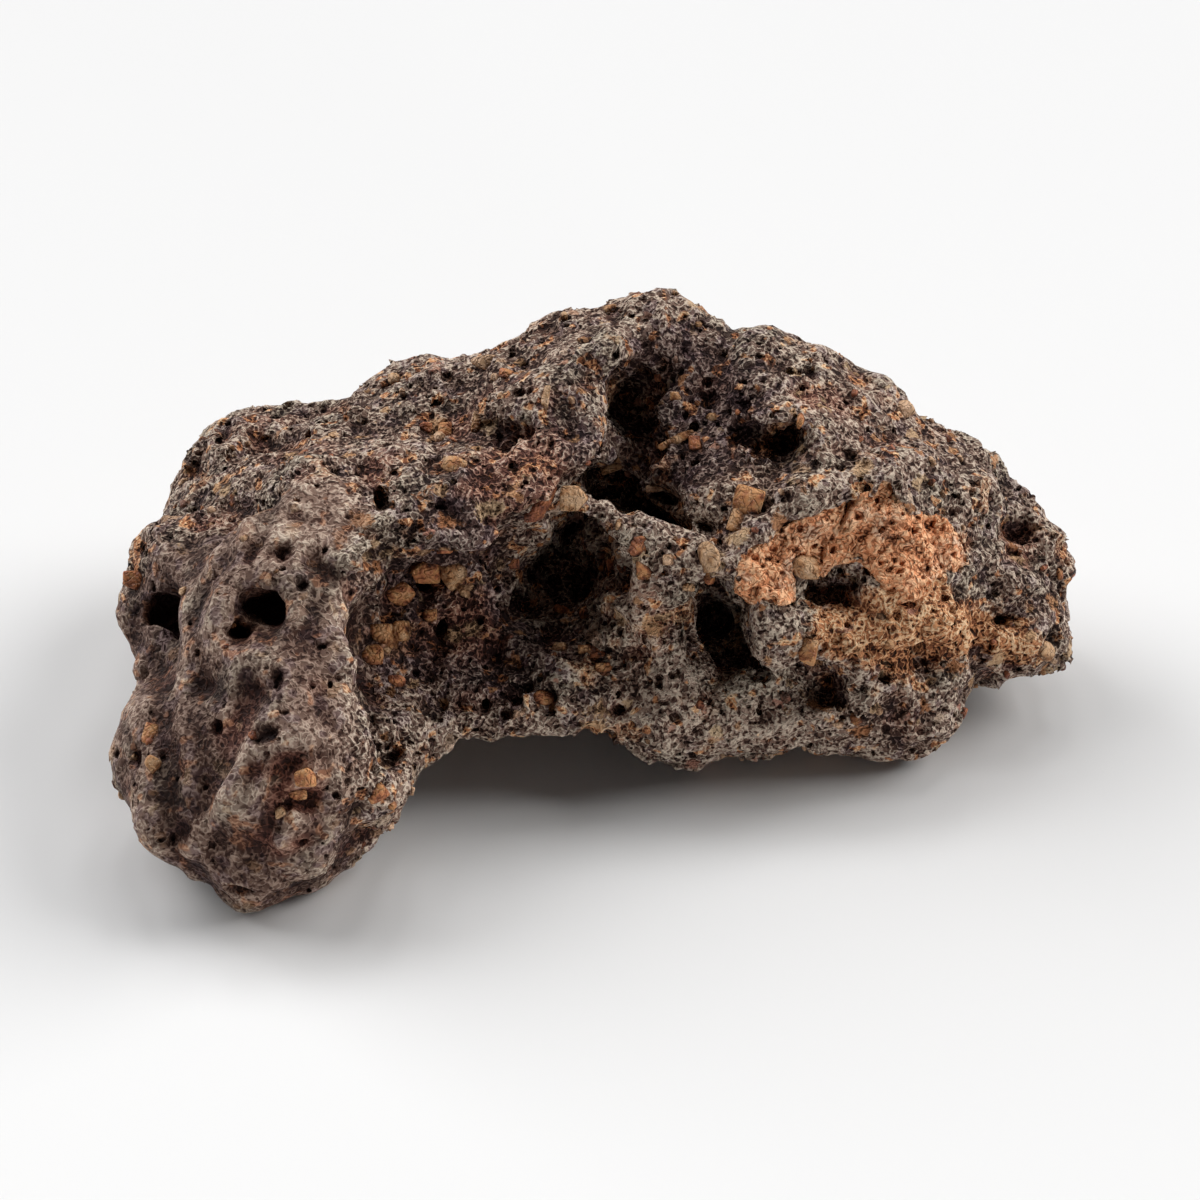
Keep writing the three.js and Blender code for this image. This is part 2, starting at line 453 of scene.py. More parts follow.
def weld(space, field, path, radius, soft):
    """Lays a rod of melt along a path and runs it into the stone with a soft fillet."""
    reach = radius + soft
    slices, (x, y, z) = space.about(np.min(path, 0) - reach, np.max(path, 0) + reach)
    rod = to_path(x, y, z, path) - radius
    field[slices] = -greater(-field[slices], -rod, soft)


def sink(space, field, ragged, place, across, tall, deep, roll):
    """Opens a hollow: an ellipsoid about a place, its depth along a line that tips down to the back, its
    width and height turned by roll about that line. Its wall is ragged, and its rim a little soft."""
    reach = max(across, tall, deep) + WALL_ROOM
    slices, (x, y, z) = space.about(place - reach, place + reach)
    x, y, z = x - place[0], y - place[1], z - place[2]
    away = y * cos(TIP) - z * sin(TIP)
    up = y * sin(TIP) + z * cos(TIP)
    side = x * cos(radians(roll)) - up * sin(radians(roll))
    rise = x * sin(radians(roll)) + up * cos(radians(roll))
    near = np.sqrt((side / across) ** 2 + (rise / tall) ** 2 + (away / deep) ** 2)
    slope = np.sqrt((side / across**2) ** 2 + (rise / tall**2) ** 2 + (away / deep**2) ** 2) + TINY
    raggedness = 0.5 * min(across, tall, MOST_RAGGED)
    hollow = near * (1 - near) / slope + raggedness * ragged[slices]
    field[slices] = greater(field[slices], hollow, SOFT_RIM)


def gouge(space, field, ragged, path, radius):
    """Cuts a round-bottomed gully along a path, with a ragged wall and a soft rim."""
    reach = radius + WALL_ROOM
    slices, (x, y, z) = space.about(np.min(path, 0) - reach, np.max(path, 0) + reach)
    gully = radius - to_path(x, y, z, path) + 0.35 * ragged[slices]
    field[slices] = greater(field[slices], gully, SOFT_GULLY)


def centres_near(space, field, low, high, count):
    """Random places among the cubes where the field lies between low and high."""
    near = np.argwhere((field > low) & (field < high))
    chosen = near[RNG.choice(len(near), count)]
    return (chosen + space.first + RNG.uniform(-0.5, 0.5, (count, 3))) * space.cell


def blow(space, field, centres, radii, lip):
    """Opens a bubble at each centre, stretched one way or another, with a thin raised lip round it."""
    shapes = RNG.uniform(0.6, 1.4, (len(centres), 3))
    for centre, radius, shape in zip(centres, radii, shapes):
        reach = BUBBLE_REACH * radius + 0.1
        slices, (x, y, z) = space.about(centre - reach, centre + reach)
        far = ((x - centre[0]) * shape[0]) ** 2 + ((y - centre[1]) * shape[1]) ** 2
        far = np.sqrt(far + ((z - centre[2]) * shape[2]) ** 2)
        lifted = field[slices] - lip * radius * np.exp(-(((far / radius - LIP_AT) / LIP_WIDTH) ** 2))
        field[slices] = np.maximum(lifted, radius - far)


# ---- the forms of this stone
# Places are in percent, as spot() takes them. Other sizes are in millimetres, and turns in degrees.

# welts and creases: name, width, height, path
RELIEF = [
    ("right edge of the foot", 0.8, 0.55, [
        (-43, -18, 77), (-48, -33, 73), (-51, -48, 66), (-49, -66, 55), (-49, -76, 48), (-57, -89, 42),
        (-62, -97, 30),
    ]),
    ("left edge of the foot", 0.8, 0.6, [
        (-77, 5, 62), (-80, -10, 57), (-81, -35, 52), (-80, -55, 48), (-78, -78, 43),
    ]),
    ("cap of the foot", 2.0, 0.5, [(-64, -16, 77), (-60, -30, 74)]),
    ("knob of the foot", 1.7, 0.7, [(-57, -78, 53)]),
    ("low bulge of the foot", 1.2, 0.5, [(-68, -93, 40)]),
    ("tip of the foot", 1.0, -0.3, [(-76, -96, 8), (-69, -98, 6), (-62, -96, 6)]),
    ("right bulge of the foot", 1.3, 0.3, [(-49, -88, 36)]),
    ("right toe", 1.0, -0.35, [(-57, -93, 10), (-50, -86, 13)]),
    ("rust groove", 0.65, -0.9, [(-67, -70, 58), (-72, -83, 49), (-77, -90, 34)]),
    ("second groove", 0.55, -0.8, [(-59, -88, 48), (-61, -94, 40), (-65, -99, 28)]),
    ("flank crease", 0.7, -0.9, [(-46, -37, 60), (-46, -50, 50), (-44, -64, 43)]),
    ("flank slot", 0.45, -1.0, [(-43, -62, 44), (-42, -72, 38)]),
    ("lobe groove", 0.8, -0.4, [(-85, -58, 40), (-83, -75, 40), (-83, -88, 26), (-81, -93, 12)]),
    ("waist of the shoulder", 1.0, 0.8, [(-96, -26, 30), (-92, -38, 31), (-90, -51, 38)]),
    ("side of the shoulder", 1.3, -0.95, [(-96, 0, 52), (-96, -9, 46), (-96, -15, 39)]),
    ("left slope of the peak", 1.5, -0.95, [(-15, 49, 92), (-11, 51, 95), (-5, 52, 98)]),
    ("top of the peak", 1.3, -0.75, [(0, 57, 99), (9, 63, 98), (14, 65, 99)]),
    ("right slope", 1.3, -0.35, [(71, 38, 70), (77, 37, 66), (84, 41, 55)]),
    ("right end", 1.1, -0.7, [(97, 11, 40), (95, 4, 37), (95, -4, 22)]),
    ("far corner of the plateau", 1.3, 0.35, [(-80, 60, 61), (-83, 56, 58)]),
    ("floor of the valley", 1.9, -1.3, [(15, 46, 94), (18, 39, 88), (20, 29, 83), (19, 18, 78)]),
    ("head of the valley", 1.1, -0.7, [(15, 52, 94), (18, 47, 92), (20, 42, 88)]),
    ("back of the hump", 1.6, 0.8, [
        (14, 68, 95), (19, 66, 92), (28, 64, 87), (40, 58, 86), (49, 59, 81), (56, 54, 77),
    ]),
    ("left ridge of the foot", 0.55, 0.6, [(-76, -20, 67), (-80, -27, 58), (-83, -28, 45), (-82, -39, 45)]),
    ("front ridge of the foot", 0.5, 0.5, [(-66, -82, 51), (-71, -91, 42), (-77, -90, 27), (-80, -91, 21)]),
    ("dark fold of the foot", 0.6, -0.6, [(-80, -62, 50), (-78, -76, 45), (-77, -85, 40)]),
    ("brow lip", 0.6, 0.5, [
        (-43, -20, 76), (-37, -19, 75), (-31, -18, 73), (-25, -17, 71), (-19, -15, 68), (-14, -13, 70),
        (-9, -4, 75),
    ]),
    ("plateau ridge", 0.7, 0.45, [
        (-85, 35, 55), (-75, 26, 63), (-66, 18, 68), (-57, 11, 76), (-45, 16, 78), (-37, 14, 80),
    ]),
    ("plateau trough", 0.9, -0.6, [(-70, 42, 66), (-56, 33, 75), (-45, 30, 78), (-30, 30, 79)]),
    ("left slot", 0.4, -0.9, [(-58, 36, 74), (-55, 42, 74)]),
    ("right slot", 0.35, -0.9, [(-47, 43, 76), (-44, 48, 77)]),
    ("dip ridge", 0.5, 0.5, [(-24, 34, 81), (-13, 27, 87), (-7, 11, 83)]),
    ("cliff edge", 0.7, 0.6, [(2, 33, 90), (0, 31, 86), (-1, 14, 83), (-5, 5, 79)]),
    ("valley crease", 0.9, -1.5, [(8, 54, 98), (10, 42, 87), (5, 36, 76), (2, 22, 73)]),
    ("rim of the hump hole", 0.7, 0.25, [(27, 25, 84), (33, 24, 85), (40, 24, 85), (45, 22, 82)]),
    ("back edge of the hump", 0.6, 0.4, [(54, 42, 82), (58, 39, 78), (62, 31, 75)]),
    ("ledge over the clast", 0.55, 0.55, [
        (28, -11, 67), (35, -5, 70), (41, -1, 73), (47, 3, 76), (53, 8, 77), (58, 16, 77),
    ]),
    ("wall beside the oval hole", 0.45, 0.5, [
        (32, -24, 56), (33, -27, 47), (38, -30, 42), (40, -33, 30), (46, -35, 24),
    ]),
    ("pale spur", 0.35, 0.4, [(53, -14, 56), (56, -20, 53), (60, -24, 47)]),
    ("end crease", 0.4, -0.6, [(85, 10, 47), (91, 13, 43), (97, 10, 38)]),
    ("face crease", 0.5, -0.4, [(79, 2, 48), (79, -6, 39), (78, -12, 26)]),
]

# the thin crest between the pit and the blow-hole: radius, fillet, path
CRESTS = [
    (0.3, 0.3, [(-4, 0, 72.5), (0, -1, 69.5), (3, -3, 66.5), (7, -5, 64.5)]),
    (0.42, 0.4, [(6, -5, 65), (11, -6, 64), (15, -7, 63), (20, -9, 63), (23, -11, 62)]),
]

# the gully that runs down from the peak into the pit, and the steep side of the foot: radius, path
GULLIES = [
    (1.6, [(8, 46, 86), (6, 47, 77), (6, 37, 73), (9, 28, 69)]),
    (1.1, [(-41, -24, 73), (-44, -34, 68), (-45, -48, 57), (-44, -62, 45), (-42, -68, 36)]),
]

# hollows: name, place, half width, half height, half depth, roll
HOLLOWS = [
    ("left pocket of the gully", (5, 43, 79), 0.85, 1.5, 3.0, 0),
    ("pocket over the pit", (0, 32, 73), 0.45, 0.8, 2.4, 0),
    ("pit, left part", (1, 16, 69), 1.3, 0.85, 4.5, 20),
    ("pit", (10, 13, 62), 2.9, 1.15, 5.5, 26),
    ("pit, upper right", (14, 14, 65), 1.7, 1.1, 4.0, 26),
    ("pit, right end", (21, 4, 62), 0.9, 0.45, 3.5, 28),
    ("blow-hole", (-10, -9, 56), 3.5, 2.5, 7.0, 0),
    ("blow-hole's floor", (-11, -8, 45), 2.4, 1.4, 5.0, -12),
    ("blow-hole's right wall", (1, -9, 61), 1.75, 2.3, 2.8, -14),
    ("blow-hole's upper part", (-6, -3, 65), 1.7, 2.7, 7.5, 32),
    ("gap under the cliff", (-6, 3, 72), 0.7, 1.5, 4.5, 20),
    ("oval hole", (25, -23, 46), 1.65, 2.7, 5.4, -20),
    ("low hole", (43, -29, 34), 1.05, 2.3, 1.8, -14),
    ("crevice by the nose", (24, -8, 60), 0.2, 1.0, 2.2, 8),
    ("recess under the clast", (46, -12, 52), 1.4, 0.7, 0.75, 4),
    ("high hole", (39, 23, 79), 0.75, 0.75, 1.7, 0),
    ("high hole, left part", (34, 22, 80), 1.5, 0.75, 0.9, 10),
    ("end groove", (90, 16, 51), 0.7, 1.9, 1.2, -30),
    ("end pit", (84, -5, 35), 0.6, 0.4, 1.2, 0),
    ("foot hole, upper part", (-66, -41, 64), 0.95, 0.62, 1.7, 14),
    ("foot hole, lower part", (-70, -46, 60), 0.9, 0.8, 1.7, 24),
    ("foot pit", (-78, -60, 53), 0.5, 0.32, 0.9, 0),
    ("first dip of the foot", (-68, -27, 76), 0.35, 0.75, 0.5, 15),
    ("second dip of the foot", (-63, -30, 76), 0.5, 0.25, 0.4, 0),
    ("third dip of the foot", (-56, -34, 77), 0.3, 0.45, 0.5, 0),
    ("dip under the foot's hole", (-67, -71, 60), 0.6, 0.5, 0.5, 20),
    ("dip beside the rust groove", (-63, -82, 54), 0.5, 0.3, 0.4, 0),
    ("foot's rusty dip", (-57, -93, 40), 1.0, 0.5, 0.6, 0),
    ("foot's low dip", (-62, -101, 26), 1.1, 0.5, 0.5, 10),
    ("shoulder hollow", (-88, -8, 45), 1.1, 1.9, 0.75, -8),
    ("shoulder hollow's foot", (-85, -18, 41), 0.8, 0.7, 0.8, 30),
    ("lobe's dark dip", (-86, -88, 22), 0.55, 0.55, 0.9, 0),
    ("hole by the arch", (-23, -36, 29), 0.7, 0.8, 1.6, 0),
    ("upper nose hole", (4, -37, 27), 0.5, 0.35, 1.0, 0),
    ("lower skirt hole", (32, -36, 22), 0.55, 0.35, 0.9, 0),
    ("right skirt hole", (37, -36, 19), 0.3, 0.22, 0.7, 0),
    ("brow slit", (-43, -9, 79), 0.22, 0.5, 1.0, 0),
    ("shoulder's top hole", (-85, 17, 60), 0.38, 0.26, 0.9, 0),
    ("plateau dip", (-17, 19, 83), 1.4, 0.7, 0.6, 8),
    ("dip beside the clast", (62, -21, 53), 0.65, 0.35, 0.9, 0),
    ("ringed hole", (-37, -2, 46), 1.0, 0.9, 1.6, 0),
    ("crack over the clast", (47.5, -2, 73.5), 0.12, 0.5, 0.7, -35),
]


# ---- the baked granite clast

CLAST = np.array([11.7, -1.1, 11.1])  # the middle of its face
CLAST_ROOM = np.array([6.2, 5.0, 5.0])  # half sizes of the space it is made in
CLAST_DEEP = 2.4
CLAST_BUBBLES = 1100
SEAT_GAP = 0.14  # the seat is this much smaller than the clast
# seen along the tipped line: along x, and up the slope, from its middle
OUTLINE = np.array([
    (-5.3, 0.1), (-3.8, 0.55), (-2.2, 1.5), (-1.5, 2.1), (-0.85, 2.0), (0.7, 2.55), (1.15, 3.5),
    (1.95, 3.15), (2.55, 1.75), (4.1, 1.5), (4.9, 0.55), (5.5, -0.85), (4.55, -1.3), (3.5, -1.6),
    (3.35, -2.2), (2.1, -2.7), (1.15, -1.95), (0.25, -0.85), (-0.85, -1.0), (-1.3, -1.5), (-1.95, -1.3),
    (-2.65, -1.0), (-2.75, -2.6), (-4.4, -2.8), (-5.5, -2.1),
])


def to_outline(across, up):
    """Signed distance to the clast's outline, negative inside. A point is inside where an odd number of the
    outline's sides pass to its right."""
    least, inside = np.inf, False
    for (x1, y1), (x2, y2) in zip(OUTLINE, np.roll(OUTLINE, -1, axis=0)):
        dx, dy = x2 - x1, y2 - y1
        share = np.clip(((across - x1) * dx + (up - y1) * dy) / (dx**2 + dy**2), 0, 1)
        least = np.minimum(least, (across - x1 - share * dx) ** 2 + (up - y1 - share * dy) ** 2)
        crosses = (up > min(y1, y2)) & (up <= max(y1, y2))
        inside = inside ^ (crosses & (across < x1 + (up - y1) * dx / (dy if dy else 1)))
    return np.sqrt(least) * np.where(inside, -1, 1)


def on_face(x, y, z):
    """The signed distance to the outline at each cube, and how far across and up the clast's face it is."""
    across = x - CLAST[0] + 0 * y + 0 * z
    up = (y - CLAST[1]) * sin(TIP) + (z - CLAST[2]) * cos(TIP) + 0 * x
    return to_outline(across, up), across, up


def make_pocket(space, field, smooth):
    """Cuts the clast's seat into the melt, a little smaller than the clast so that the melt grips it."""
    reach = 7.0
    slices, coordinates = space.about(CLAST - reach, CLAST + reach)
    edge, _, _ = on_face(*coordinates)
    seat = np.maximum(edge + SEAT_GAP, -smooth[slices] - CLAST_DEEP + 0.3)
    field[slices] = np.maximum(field[slices], -seat)


def make_clast(space, smooth):
    """A flat crumbly slab with its own skin: its face follows the stone's, broken into wrinkles and sugary
    grains. Its lower left end stands a little prouder, and a crack runs down from its upper edge."""
    own = Space(CLAST - CLAST_ROOM, CLAST + CLAST_ROOM, CLAST_CELL)
    x, y, z = own.grid()
    places = np.stack(np.broadcast_arrays(x, y, z), axis=-1).reshape(-1, 3)
    depth = space.read(smooth, places).reshape(own.count)
    edge, across, up = on_face(x, y, z)
    ragged = 0.12 * own.hills(0.9) + 0.09 * own.hills(0.4)
    face = 0.14 + 0.22 * np.abs(own.hills(1.3)) - 0.26 * np.abs(own.hills(0.75))
    face -= 0.20 * np.abs(own.hills(0.42))
    face += 0.2 * np.clip((-2.6 - across) / 0.3, 0, 1) * np.clip((0.4 - up) / 0.8, 0, 1)
    face += 0.10 * own.hills(0.3)
    crack = np.exp(-(((across + 0.95 - 0.35 * up) / 0.09) ** 2)) * np.clip((up - 0.6) / 0.5, 0, 1)
    field = np.maximum(edge + ragged, depth - face + 0.5 * crack)
    field = np.maximum(field, -depth - CLAST_DEEP + ragged)
    centres = centres_near(own, field, -0.12, 0.12, CLAST_BUBBLES)
    blow(own, field, centres, RNG.uniform(0.10, 0.19, CLAST_BUBBLES), 0.3)
    mesh = thinned(mesh_of("granite_clast", *own.skin(field)), CLAST_TRIANGLES)
    rim = -own.below(field, points_of(mesh), 0.22, 0.08)
    add_numbers(mesh, "rim", np.clip(rim, -1, 1))
    return mesh


# ---- loose grains and baked specks

# lodged grains: place, half sizes across, up and in, turn, hue
GRAINS = [
    (-6, 0, 76, 0.74, 0.62, 0.60, 0, 0.30), (-9, -3, 70, 0.41, 0.82, 0.42, 22, 0.72),
    (-9, -2, 66, 0.48, 0.48, 0.42, 0, 0.80), (22, -13, 63, 0.50, 0.79, 0.54, -8, 0.22),
    (-30, -1, 50, 0.72, 0.90, 0.60, -35, 0.35), (-28, -3, 46, 0.54, 0.48, 0.48, 20, 0.30),
    (-36, 7, 45, 0.79, 0.72, 0.66, 0, 0.55), (-41, 1, 41, 0.74, 0.60, 0.60, 30, 0.50),
    (-44, -17, 38, 0.74, 0.70, 0.60, 0, 0.42), (-41, -15, 39, 0.54, 0.50, 0.48, 0, 0.38),
    (-46, -25, 38, 0.55, 0.50, 0.48, 0, 0.45), (-41, -30, 32, 0.43, 0.36, 0.36, 0, 0.60),
    (30, 1, 72, 0.74, 0.86, 0.48, 15, 0.48), (28, -4, 69, 0.48, 0.60, 0.42, 20, 0.40),
    (44, -14, 61, 0.74, 0.60, 0.66, 0, 0.30), (42, -28, 42, 0.55, 0.74, 0.48, 15, 0.45),
    (8, -8, 63, 0.41, 0.55, 0.36, 20, 0.62), (9, -14, 59, 0.38, 0.46, 0.36, 0, 0.50),
    (14, -13, 62, 0.29, 0.29, 0.24, 0, 0.15), (18, -19, 57, 0.31, 0.26, 0.24, 0, 0.40),
    (-1, -21, 35, 0.62, 0.41, 0.42, 25, 0.62), (1, -25, 33, 0.43, 0.36, 0.36, 0, 0.52),
    (-3, -19, 35, 0.31, 0.29, 0.24, 0, 0.45), (-8, -17, 34, 0.43, 0.36, 0.36, 0, 0.35),
    (-12, -35, 30, 0.66, 0.54, 0.42, 20, 0.58), (-10, -38, 29, 0.36, 0.34, 0.30, 0, 0.50),
    (16, 43, 80, 0.31, 0.26, 0.30, 0, 0.42), (16, 34, 71, 0.96, 0.24, 0.30, -30, 0.38),
    (20, 28, 74, 0.36, 0.36, 0.36, 0, 0.68), (3, 24, 70, 0.67, 0.31, 0.36, -20, 0.35),
    (12, 21, 64, 0.55, 0.24, 0.36, -5, 0.12), (-11, 27, 88, 0.22, 0.80, 0.24, 6, 0.30),
    (-32, 27, 78, 0.36, 0.62, 0.36, 0, 0.52), (-36, 32, 77, 0.34, 0.31, 0.30, 0, 0.68),
    (-23, 54, 85, 1.02, 0.41, 0.48, 8, 0.10), (2, 64, 97, 0.38, 0.31, 0.30, 0, 0.35),
    (63, 44, 75, 0.74, 0.48, 0.36, -30, 0.12), (-56, -88, 44, 0.50, 0.46, 0.42, 0, 0.52),
    (-58, -91, 41, 0.58, 0.38, 0.42, 20, 0.45), (-61, -95, 37, 0.31, 0.31, 0.30, 0, 0.30),
    (-43, -79, 31, 0.50, 0.38, 0.36, -35, 0.55), (-88, -66, 41, 0.38, 0.50, 0.36, 15, 0.50),
    (-87, -73, 36, 0.43, 0.50, 0.36, -15, 0.35), (-18, 6, 48, 0.31, 0.31, 0.30, 0, 0.75),
    (-8, 0, 35, 0.43, 0.31, 0.36, 20, 0.60), (93, -5, 25, 0.66, 0.50, 0.48, 15, 0.32),
    (-95, -6, 50, 0.72, 0.50, 0.36, 0, 0.66), (-31, -4, 61, 0.41, 0.48, 0.36, 0, 0.62),
    (-35, -6, 38, 0.41, 0.36, 0.36, 0, 0.45), (-19, 43, 88, 0.48, 0.29, 0.30, 15, 0.60),
    (-25, 30, 79, 0.29, 0.66, 0.30, 8, 0.30), (-29, 4, 82, 0.54, 0.43, 0.36, 30, 0.40),
]
GRAIN_SUNK = 0.2  # the share of a grain's depth that it sinks into the melt
SPECKS = 550
SPECK_SUNK = 0.10  # how far a speck's middle lies under the skin
CLEAR_OF_FLOOR = 0.5  # no speck is lower than this
SEAM_SHADE_REACH = 0.2  # painted shade darkens a grain this close to the melt
GRAIN_LEVEL, SPECK_LEVEL = 4, 2  # how often the balls that they are cut from are divided
CUTS = 9  # slanting planes that bound a worn block, besides the six of its box
ROUNDING = 14  # the greater it is, the sharper a worn block's edges


def ball(level):
    """Points and triangles of a round ball of radius 1."""
    made = bmesh.new()
    bmesh.ops.create_icosphere(made, subdivisions=level, radius=1.0)
    points = np.array([point.co for point in made.verts])
    faces = np.array([[point.index for point in face.verts] for face in made.faces])
    made.free()
    return points, faces


def make_pebbles(space, field, name, level, places, sizes, frames, hues):
    """Worn blocks: a ball's point goes out to one over the high-power mean of its height over each of a
    block's planes, which rounds the edges where the planes meet. Then each block is sized, turned and put
    in its place."""
    points, faces = ball(level)
    count = len(places)
    cuts = RNG.normal(size=(count, CUTS, 3))
    cuts /= np.linalg.norm(cuts, axis=2, keepdims=True)
    box = np.tile(np.concatenate([np.eye(3), -np.eye(3)]), (count, 1, 1))
    cuts = np.concatenate([cuts, box], axis=1)
    reach = np.concatenate([RNG.uniform(0.72, 1.0, (count, CUTS)), np.full((count, 6), 0.95)], axis=1)
    height = np.clip(np.einsum("pi,nci->npc", points, cuts) / reach[:, None, :], 0, None)
    blocks = points[None] / (height**ROUNDING).sum(2)[..., None] ** (1 / ROUNDING)
    blocks = np.einsum("npi,nij->npj", blocks * sizes[:, None, :], frames) + places[:, None, :]
    blocks = blocks.reshape(-1, 3)
    numbers = (faces[None] + len(points) * np.arange(count)[:, None, None]).reshape(-1, 3)
    mesh = mesh_of(name, blocks, numbers)
    add_numbers(mesh, "hue", np.repeat(hues, len(points)))
    # painted shade: a grain is darker where it meets the melt
    add_numbers(mesh, "dirt", np.clip(1.0 - space.read(field, blocks) / SEAM_SHADE_REACH, 0, 1))
    return mesh


def settle(space, field, skin, places, line):
    """Slides each place along a line until it meets the melt. A place with no melt close ahead or behind
    goes to the nearest point of the melt's skin."""
    steps = np.arange(-1.5, 2.5, 0.05)
    tried = places[:, None, :] + steps[None, :, None] * line
    solid = space.read(field, tried.reshape(-1, 3)).reshape(len(places), -1) < 0
    settled = places + steps[solid.argmax(1)][:, None] * line
    for n in np.flatnonzero(~solid.any(1)):
        settled[n] = skin[np.linalg.norm(skin - places[n], axis=1).argmin()]
    return settled


def make_grains(space, field, mesh):
    """The grains lodged in the stone's face, each a little sunk. Each is turned about the tipped line."""
    rows = np.array(GRAINS)
    sizes, turns, hues = rows[:, 3:6], np.radians(rows[:, 6:7]), rows[:, 7]
    across, up, line = np.array([(1, 0, 0), (0, sin(TIP), cos(TIP)), (0, cos(TIP), -sin(TIP))])
    places = settle(space, field, points_of(mesh), spot(rows[:, :3]), line)
    places += line * GRAIN_SUNK * sizes[:, 2:]
    frames = np.stack([
        np.cos(turns) * across - np.sin(turns) * up,
        np.sin(turns) * across + np.cos(turns) * up,
        np.tile(line, (len(turns), 1)),
    ], axis=1)
    return make_pebbles(space, field, "lodged_grains", GRAIN_LEVEL, places, sizes, frames, hues)


def make_specks(space, field, mesh):
    """Small angular bits of baked rock all over, most of each in the melt."""
    points, outward = points_of(mesh), np.empty(3 * len(mesh.vertices), np.float32)
    mesh.vertices.foreach_get("normal", outward)
    chosen = RNG.choice(len(points), SPECKS, replace=False)
    places = points[chosen] - SPECK_SUNK * outward.reshape(-1, 3)[chosen]
    places = places[places[:, 2] > CLEAR_OF_FLOOR]
    count = len(places)
    sizes = RNG.uniform(0.14, 0.32, (count, 1)) * RNG.uniform(0.6, 1.25, (count, 3))
    frames = np.linalg.qr(RNG.normal(size=(count, 3, 3)))[0]
    return make_pebbles(space, field, "baked_specks", SPECK_LEVEL, places, sizes, frames, RNG.random(count))


# ---- the melt

DISTANCE_CUT = 2.0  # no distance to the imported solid's skin is greater than this
SOLID_BLUR = 0.42
FOOT_CORNER = (-10.0, 0.4)  # the smooth-skinned foot lies to the left of the first, in front of the second
FOOT_BLEND = 1.6  # and turns into the frothy skin over this width

# bubbles: count, least and greatest radius, lowest and highest field, share kept on the foot, lip
BUBBLES = [
    (130, 0.28, 0.50, -0.1, 0.2, 0.3, 0.15),
    (110, 0.30, 0.55, 0.2, 0.4, 0.6, 0.1),
    (13000, 0.12, 0.20, -0.15, 0.15, 0.2, 0.35),
    (1600, 0.18, 0.30, -0.1, 0.2, 0.4, 0.25),
]


def on_foot(x, y):
    """1 on the smooth-skinned foot at the front left, 0 on the rest."""
    right, back = FOOT_CORNER
    return np.clip((right - x) / FOOT_BLEND, 0, 1) * np.clip((back - y) / FOOT_BLEND, 0, 1)


def solid_field(space):
    """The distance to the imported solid's skin, blurred so that its flat faces run into each other."""
    joined = bmesh.new()
    joined.from_mesh(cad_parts["stone"].data)
    bmesh.ops.remove_doubles(joined, verts=joined.verts, dist=MERGED)
    solid = bpy.data.meshes.new("solid")
    joined.to_mesh(solid)
    joined.free()
    distance = space.distance_to(points_of(solid), triangles_of(solid), DISTANCE_CUT)
    bpy.data.meshes.remove(solid)
    return space.blur(distance, SOLID_BLUR)


def shape_stone(space, smooth):
    """Works the bare solid's field into the stone's. Gives the finished field, and the one before the
    froth."""
    field = smooth.copy()
    x, y, z = space.grid()
    rough, fine = 1 - 0.2 * on_foot(x, y), 1 - 0.55 * on_foot(x, y)
    lumps = space.hills(1.5)
    ragged = 0.6 * lumps + 0.55 * space.hills(0.7)
    for _, width, height, path in RELIEF:
        raise_along(space, field, spot(path), width, height)
    for radius, path in GULLIES:
        gouge(space, field, ragged, spot(path), radius)
    for _, place, *sizes in HOLLOWS:
        sink(space, field, ragged, spot(place), *sizes)
    for radius, soft, path in CRESTS:
        weld(space, field, spot(path), radius, soft)
    field += 0.18 * space.hills(3.2) * rough
    field += (0.18 - 0.36 * np.abs(space.hills(2.1))) * rough
    field += 0.28 * lumps * rough
    make_pocket(space, field, smooth)

    plain = field.copy()
    field += (0.36 * np.abs(space.hills(0.95)) - 0.19) * fine
    field += (0.24 * np.abs(space.hills(0.55)) - 0.11) * fine
    for count, small, large, low, high, on_melt, lip in BUBBLES:
        centres = centres_near(space, field, low, high, count)
        stays = RNG.random(count) > (1 - on_melt) * on_foot(centres[:, 0], centres[:, 1])
        radii = small + (large - small) * RNG.random(count) ** 2
        blow(space, field, centres[stays], radii[stays], lip)
    np.maximum(field, -z, out=field)
    return field, plain


# where the melt is painted darker as shade, painted lighter as light, rusty, or stained with ochre: place,
# reach
# painted shade: under the brow, in the basin, down the gully and in hollows
SHADED_PLACES = [
    (-35, -2, 41, 2.4), (-27, -7, 37, 2.4), (-33, 1, 52, 2.2), (-16, -16, 33, 2.2), (-24, -28, 29, 1.6),
    (-41, -22, 34, 1.6), (8, 46, 86, 1.4), (15, 46, 94, 1.9), (21, 40, 88, 2.3), (10, 34, 74, 2.2),
    (23, 31, 85, 2.1), (21, 23, 81, 1.8), (13, 24, 71, 1.6), (18, 20, 78, 1.6), (-88, -10, 45, 2.0),
    (-17, -6, 78, 1.5), (-26, -2, 82, 1.4), (-11, 4, 80, 1.3), (25, -18, 45, 1.3), (-30, -13, 70, 1.3),
    (-20, -10, 68, 1.5), (36, 22, 80, 1.2), (-31, -13, 68, 1.9), (-2, 14, 85, 1.8), (-37, -1, 54, 1.6),
]
# painted light: on the front faces of the nose, the skirt and the foot's cap
LIT_PLACES = [
    (5, -8, 58, 1.4), (9, -14, 52, 1.4), (6, -20, 40, 1.6), (11, -28, 33, 1.8), (24, -33, 29, 2.2),
    (36, -36, 20, 2.2), (-56, -11, 80, 1.8), (-59, -22, 78, 1.6),
]
RUSTY = [
    (-20, 0, 83, 1.7), (-12, 2, 80, 1.7), (-16, -10, 76, 1.5), (-14, 10, 82, 1.8), (-58, -90, 43, 1.2),
    (-70, -78, 52, 1.3), (-60, -98, 28, 1.1), (-78, 5, 58, 1.4), (-28, -12, 38, 2.2), (47, 33, 84, 1.8),
    (92, 16, 50, 1.3), (10, -20, 45, 1.5), (-45, 5, 78, 0.9),
]
